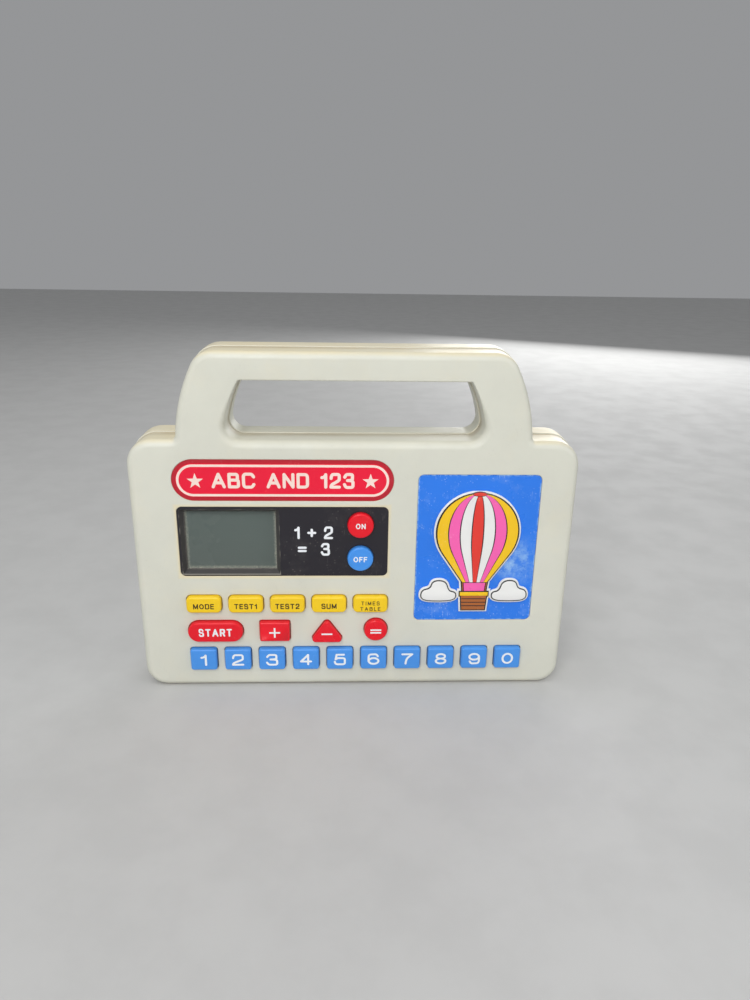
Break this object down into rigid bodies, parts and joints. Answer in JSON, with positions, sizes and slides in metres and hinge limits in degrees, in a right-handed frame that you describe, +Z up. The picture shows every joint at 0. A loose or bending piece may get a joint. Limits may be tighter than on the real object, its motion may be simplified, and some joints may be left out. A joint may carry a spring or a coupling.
{
  "type": "toy learning computer",
  "caption": "Upright slab-shaped electronic learning toy with a moulded carry handle, small display, push keys and a formed picture panel.",
  "frame": {"origin": "middle of the footprint, on the surface that the toy stands on, half-way between its rear face and the fronts of its keys", "axes": "+Z up, +X to the right seen from the front, the front with its keys faces -Y"},
  "size_m": [0.2428, 0.036, 0.1953],
  "materials": {
    "ivory_shell": "satin moulded plastic",
    "red_print": "gloss",
    "red_key": "satin",
    "yellow_key": "satin",
    "blue_key": "satin",
    "black_plastic": "satin",
    "dark_plastic": "matt",
    "clear_plastic": "clear",
    "display_cell": "grey-green",
    "foil": "satin",
    "rubber": "matt",
    "printed_sheet": "printed gloss",
    "board": "satin",
    "component_sleeve": "gloss",
    "component_body": "satin",
    "brass": "satin",
    "cell_jacket": "gloss",
    "steel": "plated",
    "wire_cover": "satin"
  },
  "bodies": {
    "case": {"battery_cells": "cell_jacket", "battery_contacts": "steel", "battery_leads": "wire_cover", "battery_springs": "steel", "board_capacitors": "component_sleeve", "board_resistors": "component_body", "board_screws": "steel", "buzzer_cup": "dark_plastic", "buzzer_disc": "brass", "buzzer_leads": "wire_cover", "case_screws": "steel", "circuit_board": "board", "display_contacts": "rubber", "display_frame": "dark_plastic", "display_glass": "display_cell", "display_panel": "black_plastic", "display_reflector": "foil", "display_window": "clear_plastic", "front_shell": "ivory_shell", "key_mat": "rubber", "picture_panel": "printed_sheet", "power_mat": "rubber", "processor_chip": "black_plastic", "rear_shell": "ivory_shell", "title_plate": "red_print"},
    "door": {"battery_door": "ivory_shell"},
    "button_0": {"key_0": "blue_key"},
    "button_1": {"key_1": "blue_key"},
    "button_2": {"key_2": "blue_key"},
    "button_3": {"key_3": "blue_key"},
    "button_4": {"key_4": "blue_key"},
    "button_5": {"key_5": "blue_key"},
    "button_6": {"key_6": "blue_key"},
    "button_7": {"key_7": "blue_key"},
    "button_8": {"key_8": "blue_key"},
    "button_9": {"key_9": "blue_key"},
    "button_equals": {"key_equals": "red_key"},
    "button_game": {"key_game": "yellow_key"},
    "button_minus": {"key_minus": "red_key"},
    "button_off": {"key_off": "blue_key"},
    "button_on": {"key_on": "red_key"},
    "button_plus": {"key_plus": "red_key"},
    "button_start": {"key_start": "red_key"},
    "button_sum": {"key_sum": "yellow_key"},
    "button_table": {"key_table": "yellow_key"},
    "button_test_1": {"key_test_1": "yellow_key"},
    "button_test_2": {"key_test_2": "yellow_key"}
  },
  "joints": [
    {"name": "press_0", "type": "slide", "parent": "case", "child": "button_0", "axis": [0, 1, 0], "range_m": [0, 0.0015], "stiffness_N_per_m": 300},
    {"name": "press_1", "type": "slide", "parent": "case", "child": "button_1", "axis": [0, 1, 0], "range_m": [0, 0.0015], "stiffness_N_per_m": 300},
    {"name": "press_2", "type": "slide", "parent": "case", "child": "button_2", "axis": [0, 1, 0], "range_m": [0, 0.0015], "stiffness_N_per_m": 300},
    {"name": "press_3", "type": "slide", "parent": "case", "child": "button_3", "axis": [0, 1, 0], "range_m": [0, 0.0015], "stiffness_N_per_m": 300},
    {"name": "press_4", "type": "slide", "parent": "case", "child": "button_4", "axis": [0, 1, 0], "range_m": [0, 0.0015], "stiffness_N_per_m": 300},
    {"name": "press_5", "type": "slide", "parent": "case", "child": "button_5", "axis": [0, 1, 0], "range_m": [0, 0.0015], "stiffness_N_per_m": 300},
    {"name": "press_6", "type": "slide", "parent": "case", "child": "button_6", "axis": [0, 1, 0], "range_m": [0, 0.0015], "stiffness_N_per_m": 300},
    {"name": "press_7", "type": "slide", "parent": "case", "child": "button_7", "axis": [0, 1, 0], "range_m": [0, 0.0015], "stiffness_N_per_m": 300},
    {"name": "press_8", "type": "slide", "parent": "case", "child": "button_8", "axis": [0, 1, 0], "range_m": [0, 0.0015], "stiffness_N_per_m": 300},
    {"name": "press_9", "type": "slide", "parent": "case", "child": "button_9", "axis": [0, 1, 0], "range_m": [0, 0.0015], "stiffness_N_per_m": 300},
    {"name": "press_equals", "type": "slide", "parent": "case", "child": "button_equals", "axis": [0, 1, 0], "range_m": [0, 0.0015], "stiffness_N_per_m": 300},
    {"name": "press_game", "type": "slide", "parent": "case", "child": "button_game", "axis": [0, 1, 0], "range_m": [0, 0.0015], "stiffness_N_per_m": 300},
    {"name": "press_minus", "type": "slide", "parent": "case", "child": "button_minus", "axis": [0, 1, 0], "range_m": [0, 0.0015], "stiffness_N_per_m": 300},
    {"name": "press_off", "type": "slide", "parent": "case", "child": "button_off", "axis": [0, 1, 0], "range_m": [0, 0.0015], "stiffness_N_per_m": 300},
    {"name": "press_on", "type": "slide", "parent": "case", "child": "button_on", "axis": [0, 1, 0], "range_m": [0, 0.0015], "stiffness_N_per_m": 300},
    {"name": "press_plus", "type": "slide", "parent": "case", "child": "button_plus", "axis": [0, 1, 0], "range_m": [0, 0.0015], "stiffness_N_per_m": 300},
    {"name": "press_start", "type": "slide", "parent": "case", "child": "button_start", "axis": [0, 1, 0], "range_m": [0, 0.0015], "stiffness_N_per_m": 300},
    {"name": "press_sum", "type": "slide", "parent": "case", "child": "button_sum", "axis": [0, 1, 0], "range_m": [0, 0.0015], "stiffness_N_per_m": 300},
    {"name": "press_table", "type": "slide", "parent": "case", "child": "button_table", "axis": [0, 1, 0], "range_m": [0, 0.0015], "stiffness_N_per_m": 300},
    {"name": "press_test_1", "type": "slide", "parent": "case", "child": "button_test_1", "axis": [0, 1, 0], "range_m": [0, 0.0015], "stiffness_N_per_m": 300},
    {"name": "press_test_2", "type": "slide", "parent": "case", "child": "button_test_2", "axis": [0, 1, 0], "range_m": [0, 0.0015], "stiffness_N_per_m": 300},
    {"name": "door_hinge", "type": "hinge", "parent": "case", "child": "door", "pos_m": [0, 0.018, 0.0206], "axis": [-1, 0, 0], "range_deg": [0, 35]}
  ]
}
